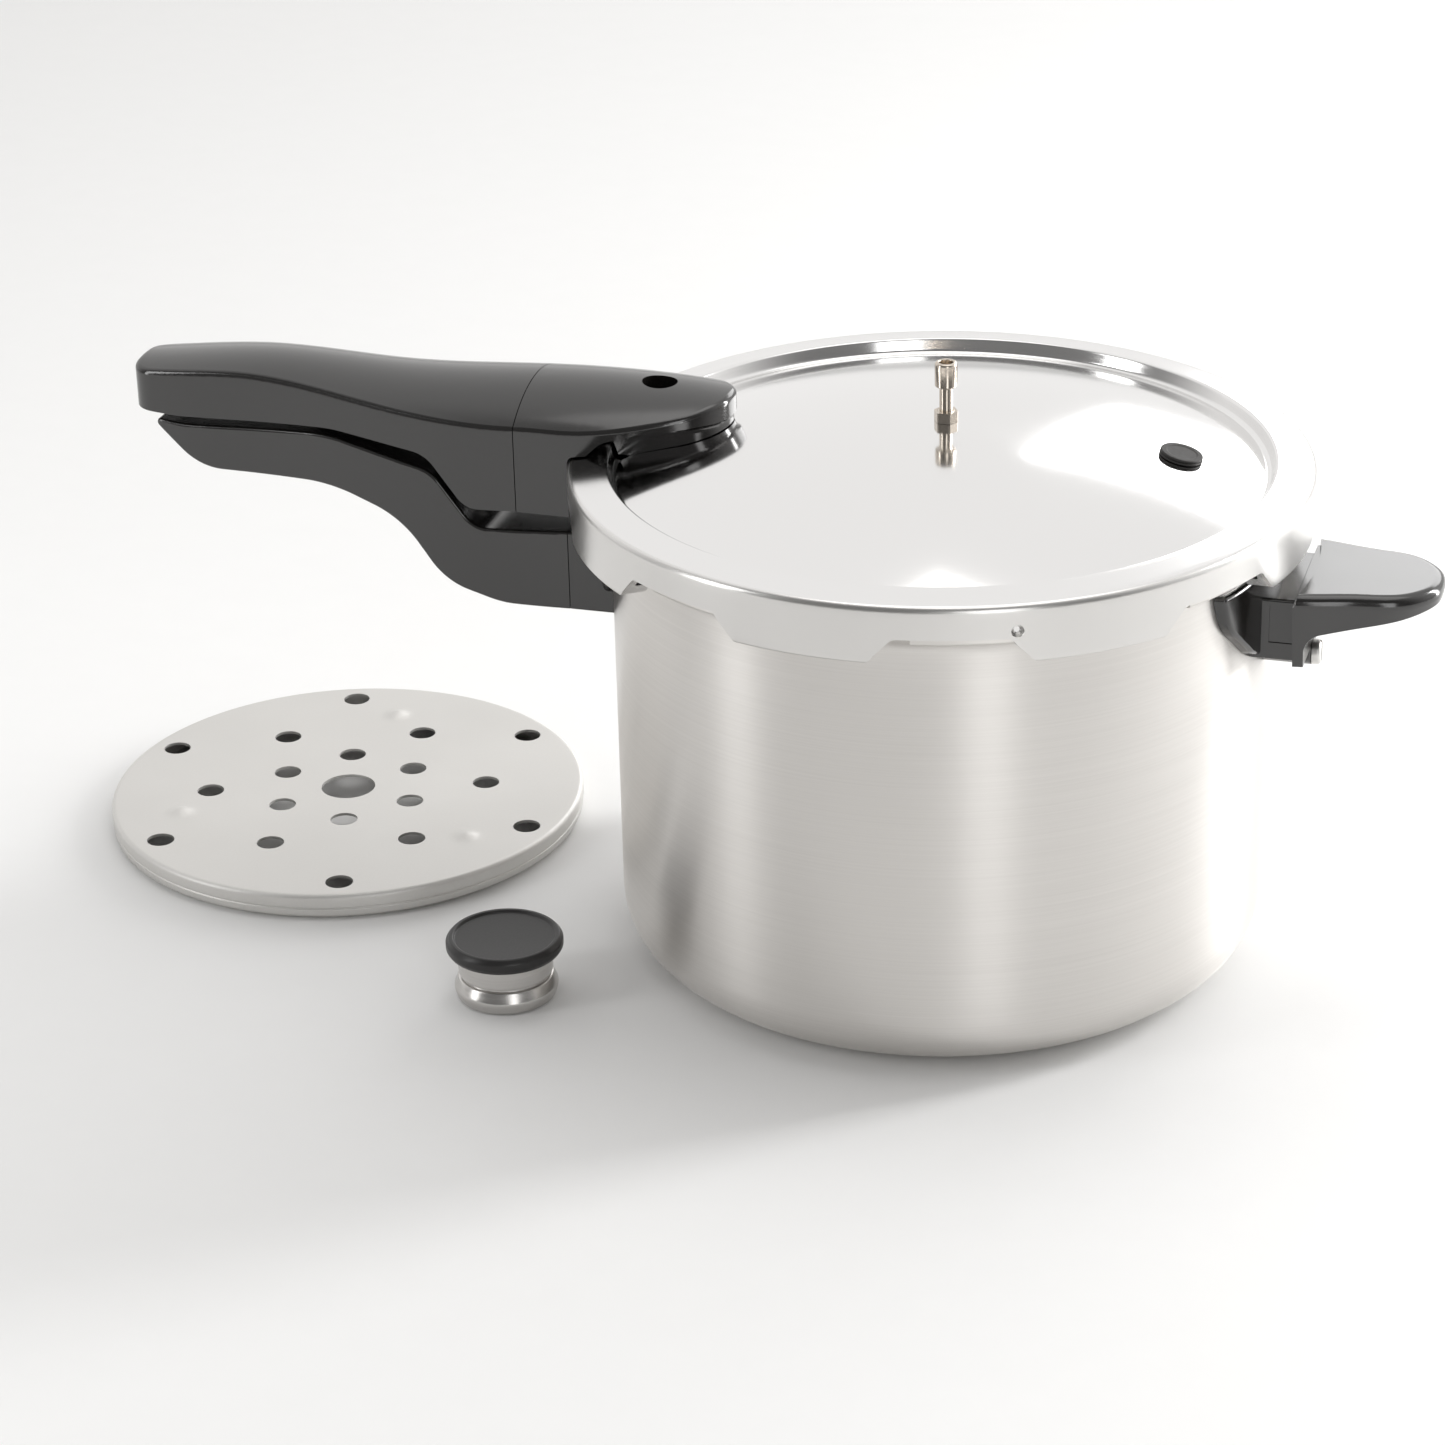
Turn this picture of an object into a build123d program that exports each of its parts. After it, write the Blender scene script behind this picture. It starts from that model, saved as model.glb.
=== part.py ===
"""Stovetop pressure cooker with its cooking rack and pressure regulator standing beside it.

Millimetres. The origin is the centre of the pot's foot, on the surface it stands on.
+Z is up, the two long handles point along -X and the helper handle along +X.
"""

import math
import os

from build123d import *

# ---------------------------------------------------------------- driving dimensions
# pot
POT_R = 108.0
WALL = 3.0
FLOOR_T = 3.5
FOOT_R = 86.0
FOOT_H = 1.2
CORNER_R = 20.0
POT_TOP = 163.4
RIM_R = 112.5
RIM_H = 6.2

# lugs that lock the lid to the pot
LUG_COUNT = 8
LUG_PITCH = 360.0 / LUG_COUNT
LUG_PHASE = -97.5
LUG_R = 117.6
LUG_H = 6.2
LUG_ANGLE = 19.0

# lid
LID_R = 121.6
LID_T = 3.0
DOME_TOP = 184.7
DOME_R = 348.0
RECESS_R = 106.9
RIM_IN_R = 108.4
RIM_IN_Z = 173.2
RIM_OUT_Z = 171.4
SKIRT_Z = 152.6
NOTCH_Z = 161.0
NOTCH_TOP_W = 37.0
NOTCH_LOW_W = 55.0
LIP_R = 113.4
LIP_TOP = 156.6
CHANNEL_R = 111.4
CHANNEL_TOP = 170.4
DIMPLE_ANGLE = -65.5
DIMPLE_Z = 163.2

# things that stand on the lid
VENT_X = 1.8
PLUG_X = 77.5
PLUG_Y = 7.5
AIR_VENT_X = -95.0
AIR_VENT_HOLE_R = 5.9
CUP_Z = 176.1
GASKET_TOP = 161.9
HANDLE_SCREW_X = -97.0
HANDLE_SCREW_Y = 11.0

# long handles
SEAM_X = -137.2
SEAM_GAP = 0.3
GRIP_SCREW_X = SEAM_X - 13.0
TAIL_X = -280.0
CROWN_R = 44.0
BLOCK_GAP = 0.6
LOWER_SEAM_X = -121.0
BODY_SCREW_Z = 124.0
BRACKET_W = 10.0
BRACKET_BOSS_R = 3.4
SHIELD_T = 3.6

# helper handle
HELPER_SEAM_X = 120.0
HELPER_TOP = 145.2
HELPER_TIP_X = 165.4
HELPER_SCREW_Z = 115.6
HELPER_SEAT_X = 123.6
HELPER_BOSS_R = 6.5
HELPER_BOSS_Z = 118.0

# screws
SCREW_R = 2.4
SCREW_HOLE_R = 2.5
BOSS_R = 4.2
FIT = 0.05

# loose pieces
RACK_X = -228.8
RACK_Y = 32.4
RACK_R = 85.4
RACK_H = 10.0
RACK_T = 1.0
RACK_HOLE_R = 4.85
RACK_BUMP_R = 5.2
RACK_BUMP_H = 1.6
REGULATOR_X = -128.9
REGULATOR_Y = -82.2

ABOVE = 230.0
FAR = 60.0


# ---------------------------------------------------------------- helpers
def outline(*corners):
    """Closed face through corners (u, v) or (u, v, rounding radius)."""
    points = [corner[:2] for corner in corners]
    radii = [corner[2] if len(corner) > 2 else 0 for corner in corners]
    return make_face(FilletPolyline(*points, radius=radii, close=True))


def mirrored_plan(side):
    """Closed face between a line along X and its mirror image across the XZ plane."""
    other = mirror(side, about=Plane.XZ)
    return make_face([side, other, Line(side @ 0, other @ 0), Line(side @ 1, other @ 1)])


def turned(*corners):
    """Solid of revolution about Z from corners given as (radius, height[, rounding])."""
    return revolve(Plane.XZ * outline(*corners), Axis.Z)


def slab(face, low, high):
    """A plan face pulled up from one height to another."""
    return extrude(Pos(0, 0, low) * face, amount=high - low)


def side_cut(*corners, half_width=FAR):
    """A side outline (x, z) pulled to both sides of the XZ plane."""
    return extrude(Plane.XZ * outline(*corners), amount=half_width, both=True)


def rod(radius, low, high):
    """A cylinder on Z between two heights."""
    return Pos(0, 0, (low + high) / 2) * Cylinder(radius, high - low)


def along_x(radius, start, end, height):
    """A cylinder along X at one height."""
    middle = (start + end) / 2
    return Pos(middle, 0, height) * Rot(0, 90, 0) * Cylinder(radius, abs(end - start))


def hexagon(across_flats, low, high):
    """A hexagonal bar on Z."""
    return slab(RegularPolygon(across_flats / 2, 6, major_radius=False), low, high)


def dome_z(radius, drop=0.0):
    """Height of the lid's dome, or of a surface that lies under it by drop."""
    sphere = DOME_R - drop
    return DOME_TOP - DOME_R + math.sqrt(sphere * sphere - radius * radius)


def dome_tangent_corner(radius, drop=0.0):
    """Where the dome's level centre line and its tangent at a radius cross."""
    rise = dome_z(0, drop) - dome_z(radius, drop)
    slope = radius / math.sqrt((DOME_R - drop) ** 2 - radius**2)
    return radius - rise / slope


def on_dome(x, y):
    """Plane that touches the dome's top at a plan position, its Z along the normal."""
    height = dome_z(math.hypot(x, y))
    centre = DOME_TOP - DOME_R
    return Plane(origin=(x, y, height), x_dir=(1, 0, -x / (height - centre)), z_dir=(x, y, height - centre))


def lug_angles():
    """Angles of the lug centres."""
    return [LUG_PHASE + LUG_PITCH * index for index in range(LUG_COUNT)]


def sector(radius, half_angle, low, high):
    """A wedge of a cylinder, centred on +X."""
    reach = radius * math.tan(math.radians(half_angle))
    wedge = slab(outline((0, 0), (radius, -reach), (radius, reach)), low, high)
    return wedge & rod(radius, low, high)


# ---------------------------------------------------------------- pot
def pot_body():
    """Drawn aluminium pot with a thick rim and lugs for the lid."""
    rim_low = POT_TOP - RIM_H
    shell = turned(
        (0, 0),
        (FOOT_R, 0, 0.5),
        (FOOT_R + 0.4, FOOT_H, 0.3),
        (POT_R, FOOT_H, CORNER_R),
        (POT_R, rim_low - 4.5, 6),
        (RIM_R, rim_low, 2),
        (RIM_R, POT_TOP, 1.2),
        (POT_R - WALL, POT_TOP, 1.2),
        (POT_R - WALL, FOOT_H + FLOOR_T, CORNER_R - WALL),
        (0, FOOT_H + FLOOR_T),
    )
    lug_low = POT_TOP - LUG_H
    ring = turned(
        (RIM_R - 1, lug_low),
        (LUG_R, lug_low, 1.2),
        (LUG_R, POT_TOP - 0.4, 1.5),
        (RIM_R - 1, POT_TOP - 0.4),
    )
    wedge = sector(LUG_R + 5, LUG_ANGLE / 2, lug_low - 1, POT_TOP + 1)
    lugs = [ring & (Rot(0, 0, angle) * wedge) for angle in lug_angles()]
    return shell.fuse(*lugs)


# ---------------------------------------------------------------- lid
def lid_cover():
    """Spun lid: dome, step, channel for the ring, skirt with lugs, and its holes."""
    under_r = RECESS_R + 1.7
    cover = turned(
        (0, DOME_TOP),
        (dome_tangent_corner(RECESS_R), DOME_TOP, DOME_R - 6),
        (RECESS_R, dome_z(RECESS_R), 1.8),
        (RIM_IN_R, RIM_IN_Z, 1.0),
        (LID_R, RIM_OUT_Z, 2.2),
        (LID_R, SKIRT_Z, 0.8),
        (LIP_R, SKIRT_Z, 0.8),
        (LIP_R, LIP_TOP, 0.8),
        (LID_R - LID_T, LIP_TOP, 1.0),
        (LID_R - LID_T, CHANNEL_TOP - 1.4, 1.5),
        (CHANNEL_R, CHANNEL_TOP, 1.0),
        (CHANNEL_R, dome_z(under_r, LID_T) + 0.6, 0.5),
        (under_r, dome_z(under_r, LID_T), 1.0),
        (dome_tangent_corner(under_r, LID_T), DOME_TOP - LID_T, DOME_R - 12),
        (0, DOME_TOP - LID_T),
    )
    below = SKIRT_Z - 0.1
    notch = outline(
        (-FAR, below),
        (-NOTCH_LOW_W / 2, below, 5),
        (-NOTCH_TOP_W / 2, NOTCH_Z, 4),
        (NOTCH_TOP_W / 2, NOTCH_Z, 4),
        (NOTCH_LOW_W / 2, below, 5),
        (FAR, below),
        (FAR, below - 20),
        (-FAR, below - 20),
    )
    notch_cutter = extrude(Plane.YZ.offset(LIP_R - 10) * notch, amount=25)
    for angle in lug_angles():
        cover -= Rot(0, 0, angle + LUG_PITCH / 2) * notch_cutter
    dimple = Cylinder(1.1, 12) + Pos(0, 0, -0.6) * Cone(1.1, 2.2, 1.4)
    cover -= Rot(0, 0, DIMPLE_ANGLE) * Pos(LID_R, 0, DIMPLE_Z) * Rot(0, 90, 0) * dimple
    cover -= Pos(VENT_X, 0) * rod(3.0, 170, ABOVE)
    cover -= Pos(AIR_VENT_X, 0) * rod(3.0, 150, ABOVE)
    cover -= on_dome(PLUG_X, PLUG_Y).location * Cylinder(4.0, 20)
    for side in (-1, 1):
        cover -= on_dome(HANDLE_SCREW_X, side * HANDLE_SCREW_Y).location * Cylinder(2.1, 20)
    return cover


def sealing_ring():
    """Rubber ring of a C section that fills the lid's channel."""
    low = POT_TOP + 0.4
    high = CHANNEL_TOP - 1.6
    inner = CHANNEL_R + 0.3
    outer = LID_R - LID_T - 0.3
    middle = (low + high) / 2
    return turned(
        (inner, low, 0.8),
        (outer, low, 0.8),
        (outer, high, 1.0),
        (inner, high, 1.0),
        (inner, middle + 1.0, 0.3),
        (inner + 3.2, middle, 0.5),
        (inner, middle - 1.0, 0.3),
    )


def vent_pipe():
    """Hollow pipe with a cup head, a thin shank and a thread through the lid."""
    head_low = 196.6
    head_high = 205.0
    pipe = turned(
        (1.1, 173),
        (2.9, 173, 0.4),
        (2.9, DOME_TOP + 3.7),
        (2.2, DOME_TOP + 3.7),
        (2.2, head_low, 0.6),
        (3.7, head_low, 0.5),
        (3.7, head_high, 0.9),
        (2.3, head_high, 0.3),
        (2.1, head_high - 3.5, 0.5),
        (1.1, head_high - 4.8),
    )
    return Pos(VENT_X, 0) * pipe


def vent_pipe_nut():
    """Hex nut that holds the vent pipe on top of the dome."""
    nut = hexagon(7.0, DOME_TOP + 0.05, DOME_TOP + 3.6) & rod(3.9, DOME_TOP, DOME_TOP + 4)
    return Pos(VENT_X, 0) * (nut - rod(2.9 + FIT, 170, ABOVE))


def vent_pipe_lock_nut():
    """Hex nut under the dome."""
    top = DOME_TOP - LID_T - 0.1
    return Pos(VENT_X, 0) * (hexagon(10.0, top - 3.6, top) - rod(2.9 + FIT, 170, ABOVE))


def overpressure_plug():
    """Rubber plug with a low cap, a stem through the lid and a lip under it."""
    plug = turned(
        (0, 1.7),
        (4.8, 1.7, 0.3),
        (5.3, 1.9, 0.3),
        (7.0, 1.9, 0.4),
        (7.0, 1.2, 0.2),
        (6.5, 1.0, 0.1),
        (7.1, 0.75, 0.2),
        (7.1, 0.15, 0.2),
        (4.0 - FIT, 0.15),
        (4.0 - FIT, -LID_T - 0.3),
        (5.4, -LID_T - 0.3, 0.5),
        (4.6, -LID_T - 3.2, 0.8),
        (0, -LID_T - 3.2),
    )
    return on_dome(PLUG_X, PLUG_Y).location * plug


# ---------------------------------------------------------------- lid handle
def nose_plan():
    """Plan of the handle's nose over the lid."""
    side = Spline(
        (SEAM_X, 28),
        (-116, 28.2),
        (-101, 26.0),
        (-87, 21.6),
        (-77.5, 16.0),
        (-71.6, 8.4),
        (-69.8, 0),
        tangents=((1, 0), (0, -1)),
    )
    return make_face([side, mirror(side, about=Plane.XZ), Line((SEAM_X, -28), (SEAM_X, 28))])


def stem_plan():
    """Plan of the stem that stands on the dome under the nose."""
    return outline((-114, -15.5), (-70.5, -15.5, 15), (-70.5, 15.5, 15), (-114, 15.5))


def above_crown():
    """Solid above the crowned top of the long handle, to be cut off both of its mouldings."""
    ridge = Spline(
        (-300, 183.2),
        (-271, 186.3),
        (-238, 189.4),
        (-190, 187.9),
        (-139, 190.0),
        (-118, 190.6),
        (-97, 190.3),
        (-82, 189.4),
        (-70, 188.0),
        (-55, 186.0),
    )
    path = Plane.XZ * ridge
    half = 34.0
    drop = CROWN_R - math.sqrt(CROWN_R**2 - half**2)
    start = Plane(origin=path @ 0, x_dir=(0, 1, 0), z_dir=path % 0)
    arch = ThreePointArc((-half, -drop), (0, 0), (half, -drop))
    roof = Polyline((half, -drop), (half, 30), (-half, 30), (-half, -drop))
    return sweep(start * make_face([arch, roof]), path=path)


def crease_edges(solid, low_x, high_x, low_z):
    """Edges of the crowned top within a stretch of X, without the straight cut at the seam."""
    top = max(solid.faces(), key=lambda face: face.center().Z)
    return [edge for edge in top.edges() if low_x < edge.center().X < high_x and edge.center().Z > low_z]


def on_stem(point):
    """Whether a point lies on the upper edge of the stem's side."""
    return abs(point.Y) < 15.6 and point.Z > 176 and point.X > -108


def tongue(clearance):
    """Tongue of the nose that enters the grip, or the socket for it."""
    half = 13.0 + clearance
    return Pos(SEAM_X - 11, 0, 165) * Box(22 + 2 * clearance, 2 * half, 16 + 2 * clearance)


def lid_handle_nose():
    """Moulding that carries the handle on the lid: nose, stem, and block in front of the skirt."""
    gap = BLOCK_GAP
    nose = slab(nose_plan(), 140, ABOVE)
    nose &= side_cut(
        (SEAM_X, 150.8, 0.5),
        (-100, 150.8),
        (-60, 165),
        (-60, 200),
        (SEAM_X, 200),
    )
    nose -= rod(LID_R + gap, 140, RIM_OUT_Z - 2)
    nose -= turned(
        (0, 140),
        (LID_R + gap, 140),
        (LID_R + gap, RIM_OUT_Z + 0.5, 2.5),
        (RIM_IN_R - 0.6, RIM_IN_Z + 0.5, 1.0),
        (RECESS_R - 1.0, dome_z(RECESS_R) + 0.3, 1.5),
        (dome_tangent_corner(RECESS_R), DOME_TOP + 0.25, DOME_R - 25),
        (0, DOME_TOP + 0.25),
    )
    cove = side_cut(
        (-113.8, 160),
        (-113.4, 171.8, 1),
        (-107.5, 177.4, 9),
        (-94, 180.6, 20),
        (-60, 182.4),
        (-60, 160),
    )
    cove -= slab(stem_plan(), 150, ABOVE)
    stem_top = [edge for edge in cove.edges() if on_stem(edge.center())]
    nose -= fillet(stem_top, 3.0)
    nose -= above_crown()
    nose = fillet(crease_edges(nose, SEAM_X + 1, -60, 170), 2.0)
    nose += tongue(0)
    nose -= Pos(AIR_VENT_X, 0) * (rod(AIR_VENT_HOLE_R, CUP_Z - 0.1, ABOVE) + rod(SCREW_HOLE_R, 150, ABOVE))
    for side in (-1, 1):
        pilot = Pos(0, 0, 5) * Cylinder(SCREW_HOLE_R - 0.4, 14)
        nose -= on_dome(HANDLE_SCREW_X, side * HANDLE_SCREW_Y).location * pilot
    nose -= Pos(GRIP_SCREW_X, 0) * rod(1.85, 150, 168)
    return nose


def upper_grip_plan():
    """Plan of the grip on the lid's handle."""
    seam = SEAM_X - SEAM_GAP
    side = Spline((TAIL_X, 12.6), (-262, 14.9), (-236, 16.2), (-200, 20.4), (-165, 26.0), (seam, 28))
    return mirrored_plan(side)


def lid_handle_grip():
    """Grip of the lid's handle, with its underside stepped over the handle below it."""
    seam = SEAM_X - SEAM_GAP
    grip = slab(upper_grip_plan(), 140, ABOVE)
    tail_corners = [edge for edge in grip.edges().filter_by(Axis.Z) if edge.center().X < TAIL_X + 1]
    grip = fillet(tail_corners, 9)
    grip &= side_cut(
        (seam, 151.0),
        (-155.5, 149.8, 9),
        (-169.5, 167.2, 12),
        (-205, 171.2, 60),
        (-262, 168.9, 60),
        (-290, 170.2),
        (-290, 210),
        (seam, 210),
    )
    grip -= above_crown()
    grip = fillet(crease_edges(grip, -300, seam - 1, 170), 2.2)
    grip -= tongue(0.15)
    grip -= Pos(GRIP_SCREW_X, 0) * (rod(2.0, 140, 168) + rod(BOSS_R, 140, 153.2))
    return grip


def lid_grip_screw():
    """Screw from below that holds the grip on the nose's tongue."""
    return Pos(GRIP_SCREW_X, 0) * pan_screw(153.15, 3.6, 2.2, 1.8, 13)


def pan_screw(seat, head_r, head_h, shank_r, length):
    """Cross-head screw on Z with its head below the seat and its shank going up."""
    screw = rod(shank_r, seat, seat + length) + turned(
        (0, seat),
        (head_r, seat, 0.1),
        (head_r, seat - head_h, 0.45 * head_h),
        (0, seat - head_h),
    )
    slot = Box(1.0, 1.1 * head_r, 1.6) + Box(1.1 * head_r, 1.0, 1.6)
    return screw - Pos(0, 0, seat - head_h) * slot


def lid_handle_screws():
    """Two screws from inside the lid into the nose's stem."""
    screw = pan_screw(-LID_T - 1.15, 3.4, 2.3, 2.0, 13)
    places = [on_dome(HANDLE_SCREW_X, side * HANDLE_SCREW_Y).location for side in (-1, 1)]
    return Compound([place * screw for place in places])


def lid_handle_washers():
    """Washers between those screws and the dome's underside."""
    washer = rod(4.2, -LID_T - 1.1, -LID_T - 0.1) - rod(2.1, -6, 0)
    places = [on_dome(HANDLE_SCREW_X, side * HANDLE_SCREW_Y).location for side in (-1, 1)]
    return Compound([place * washer for place in places])


# ---------------------------------------------------------------- air vent and cover lock
def air_vent_plunger():
    """Metal pin that rises with pressure, with a foot under its gasket."""
    pin = turned(
        (0, GASKET_TOP - 4.2),
        (3.4, GASKET_TOP - 4.2, 0.5),
        (3.4, GASKET_TOP - 2.7, 0.3),
        (SCREW_R, GASKET_TOP - 2.7),
        (SCREW_R, CUP_Z + 1.8),
        (0, CUP_Z + 1.8),
    )
    return Pos(AIR_VENT_X, 0) * pin


def air_vent_gasket():
    """Rubber gasket that closes the hole in the lid when the pin is up."""
    gasket = turned(
        (SCREW_R + 0.02, GASKET_TOP - 2.65),
        (5.0, GASKET_TOP - 2.65, 0.5),
        (5.0, GASKET_TOP, 0.9),
        (SCREW_R + 0.02, GASKET_TOP),
    )
    return Pos(AIR_VENT_X, 0) * gasket


def air_vent_cup():
    """Small metal cup on top of the pin, in the hole of the handle's nose."""
    cup = turned(
        (0, CUP_Z + 1.82),
        (SCREW_R + 0.02, CUP_Z + 1.82),
        (SCREW_R + 0.02, CUP_Z),
        (5.2, CUP_Z, 0.4),
        (5.2, CUP_Z + 3.4, 0.4),
        (4.3, CUP_Z + 3.4, 0.2),
        (4.3, CUP_Z + 2.6),
        (0, CUP_Z + 2.6),
    )
    return Pos(AIR_VENT_X, 0) * cup


# ---------------------------------------------------------------- handles on the pot
def shield():
    """Shield of a bolster that hugs the pot's wall, on the +X side."""
    outer = POT_R + 0.1 + SHIELD_T
    face = outline(
        (-outer * math.sin(math.radians(24)), 151, 1.5),
        (-outer * math.sin(math.radians(22)), 138.5, 18),
        (-outer * math.sin(math.radians(14)), 125, 12),
        (-9, 116, 8),
        (9, 116, 8),
        (outer * math.sin(math.radians(14)), 125, 12),
        (outer * math.sin(math.radians(22)), 138.5, 18),
        (outer * math.sin(math.radians(24)), 151, 1.5),
    )
    plate = extrude(Plane.YZ.offset(POT_R - 30) * face, amount=60)
    plate &= rod(outer, 100, 160) - rod(POT_R + 0.1, 90, 170)
    skin = max(plate.faces(), key=lambda side: side.center().X)
    return fillet(skin.edges(), 0.45 * SHIELD_T)


def bracket(screw_z, face_x):
    """Metal bracket welded to the wall on the +X side, with a threaded boss."""
    plate = rod(POT_R + 1.5, screw_z - 1.5, screw_z + 14.5) - rod(POT_R, 90, 170)
    plate &= Pos(POT_R, 0, screw_z + 6.5) * Box(30, BRACKET_W, 16)
    boss = along_x(BRACKET_BOSS_R, POT_R + 0.6, face_x, screw_z)
    return (plate + boss) - along_x(SCREW_HOLE_R, POT_R + 1.2, face_x + 1, screw_z)


def bracket_pocket(screw_z, face_x):
    """Space that a bolster leaves for its bracket."""
    ring = rod(POT_R + 1.7, screw_z - 1.7, screw_z + 14.7)
    ring &= Pos(POT_R, 0, screw_z + 6.5) * Box(30, BRACKET_W + 0.4, 16.4)
    return ring + along_x(BRACKET_BOSS_R + 0.12, POT_R - 5, face_x + 0.2, screw_z)


def bolster(block, screw_z, boss_x):
    """A block on its shield, bored for the bracket and the screw, on the +X side."""
    body = shield() + (block - rod(POT_R + 0.1, 90, 170))
    body -= bracket_pocket(screw_z, boss_x)
    return body - along_x(SCREW_HOLE_R + 0.1, POT_R, 140, screw_z)


def radial_screw(seat_x, inner_x, height):
    """Round-head screw along X on the +X side."""
    head = Rot(0, 90, 0) * turned((0, 0), (BOSS_R, 0, 0.2), (BOSS_R, 2.9, 1.1), (0, 2.9))
    slot = Box(1.4, 1.1, 2 * BOSS_R + 1)
    screw = Pos(seat_x, 0, height) * (head - Pos(2.9, 0, 0) * slot)
    return screw + along_x(SCREW_R, inner_x, seat_x + 0.1, height)


def helper_handle_bolster():
    """Black block between the pot's wall and the helper grip."""
    corner = POT_R + 2
    block = Pos((corner + HELPER_SEAM_X) / 2 - 4, 0, 131) * Box(HELPER_SEAM_X - corner + 8, 41, 21)
    block = fillet(block.edges().filter_by(Axis.X), 1.0)
    block += along_x(HELPER_BOSS_R, POT_R - 4, HELPER_SEAM_X, HELPER_BOSS_Z)
    panel = Pos((corner + HELPER_SEAM_X) / 2 + 1, 0, 133) * Box(HELPER_SEAM_X - corner - 2.5, 60, 13)
    block -= panel - Pos(115, 0, 133) * Box(60, 40.2, 40)
    return bolster(block, HELPER_SCREW_Z, 117.5)


def helper_grip_plan(height, inset):
    """Plan of the helper grip at one height, drawn in by an inset towards its foot."""
    root = 112.0
    tip = HELPER_TIP_X - inset
    near = Spline(
        (root, -27.6 + inset),
        (122, -26.5 + inset),
        (140, -22.5 + inset),
        (tip - 9.5, -18.8 + inset),
        (tip - 2.4, -0.6 * (18.8 - inset)),
        (tip, 0),
        tangents=((1, 0.12), (0, 1)),
    )
    far = mirror(near, about=Plane.XZ)
    return Pos(0, 0, height) * make_face([near, far, Line(near @ 0, far @ 0)])


def helper_handle_grip():
    """Short flat grip with a boss for its screw."""
    seam = HELPER_SEAM_X + 0.2
    grip = loft([helper_grip_plan(118, 5.5), helper_grip_plan(HELPER_TOP, 0)])
    grip &= side_cut(
        (seam, 119.2),
        (HELPER_SEAT_X, 119.2),
        (HELPER_SEAT_X, 130.2, 7),
        (164.8, 139.6, 3),
        (HELPER_TIP_X + 6, HELPER_TOP + 5),
        (seam, HELPER_TOP + 5),
    )
    grip -= rod(LID_R + 2.2, 141.8, 160)
    top = max(grip.faces(), key=lambda face: face.center().Z)
    rounded = [edge for edge in top.edges() if edge.center().X > 126]
    grip = fillet(rounded, 3.4)
    grip += along_x(HELPER_BOSS_R, seam, HELPER_SEAT_X, HELPER_BOSS_Z)
    return grip - along_x(SCREW_HOLE_R, 110, 140, HELPER_SCREW_Z)


def body_handle_bolster():
    """Black block between the pot's wall and the long body handle, made on the +X side."""
    reach = -LOWER_SEAM_X
    corner = POT_R + 2
    block = Pos((corner + reach) / 2 - 4, 0, 129.5) * Box(reach - corner + 8, 48, 28)
    block = fillet(block.edges().filter_by(Axis.X), 1.0)
    return Rot(0, 0, 180) * bolster(block, BODY_SCREW_Z, 118)


def lower_grip_plan():
    """Plan of the grip on the pot's long handle."""
    seam = LOWER_SEAM_X - SEAM_GAP
    side = Spline((TAIL_X + 4, 11.0), (-262, 13.4), (-236, 14.9), (-200, 18.9), (-165, 23.2), (seam, 24))
    return mirrored_plan(side)


def low_side(x):
    """Height that parts the lower edges of the body handle's grip from its upper ones."""
    return 158 if x < -175 else 135


def body_handle_grip():
    """Long grip on the pot, shaped to lie close under the lid's handle."""
    seam = LOWER_SEAM_X - SEAM_GAP
    grip = slab(lower_grip_plan(), 105, 175)
    tail_corners = [edge for edge in grip.edges().filter_by(Axis.Z) if edge.center().X < TAIL_X + 6]
    grip = fillet(tail_corners, 8)
    grip &= side_cut(
        (seam, 143.5),
        (-154, 141.8, 10),
        (-168.8, 160.2, 12),
        (-208, 168.2, 50),
        (-262, 165.4, 60),
        (-274.5, 166.8, 1.5),
        (-256, 150.3, 22),
        (-207, 150.4, 60),
        (-181, 141.6, 34),
        (-165.5, 121.0, 24),
        (-145, 115.6, 36),
        (seam, 115.5),
    )
    long_edges = [
        edge
        for edge in grip.edges()
        if abs(edge.center().Y) > 8 and TAIL_X + 12 < edge.center().X < seam - 1 and edge.length > 5
    ]
    grip = fillet([edge for edge in long_edges if edge.center().Z < low_side(edge.center().X)], 1.0)
    channel = along_x(5.2, -141.9, -190, BODY_SCREW_Z)
    return grip - channel - along_x(SCREW_HOLE_R, -110, -145, BODY_SCREW_Z)


def helper_handle_bracket():
    """Bracket of the helper handle."""
    return bracket(HELPER_SCREW_Z, 117.5)


def body_handle_bracket():
    """Bracket of the long body handle."""
    return Rot(0, 0, 180) * bracket(BODY_SCREW_Z, 118)


def helper_handle_screw():
    """Screw through the helper grip into its bracket."""
    return radial_screw(HELPER_SEAT_X + 0.05, 110.5, HELPER_SCREW_Z)


def body_handle_screw():
    """Screw through the long body handle into its bracket."""
    return Rot(0, 0, 180) * radial_screw(141.95, 110.5, BODY_SCREW_Z)


# ---------------------------------------------------------------- rack and regulator
def around(count, radius, first):
    """Places of a ring of holes."""
    return [Rot(0, 0, first + index * 360 / count) * Pos(radius, 0) for index in range(count)]


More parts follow.
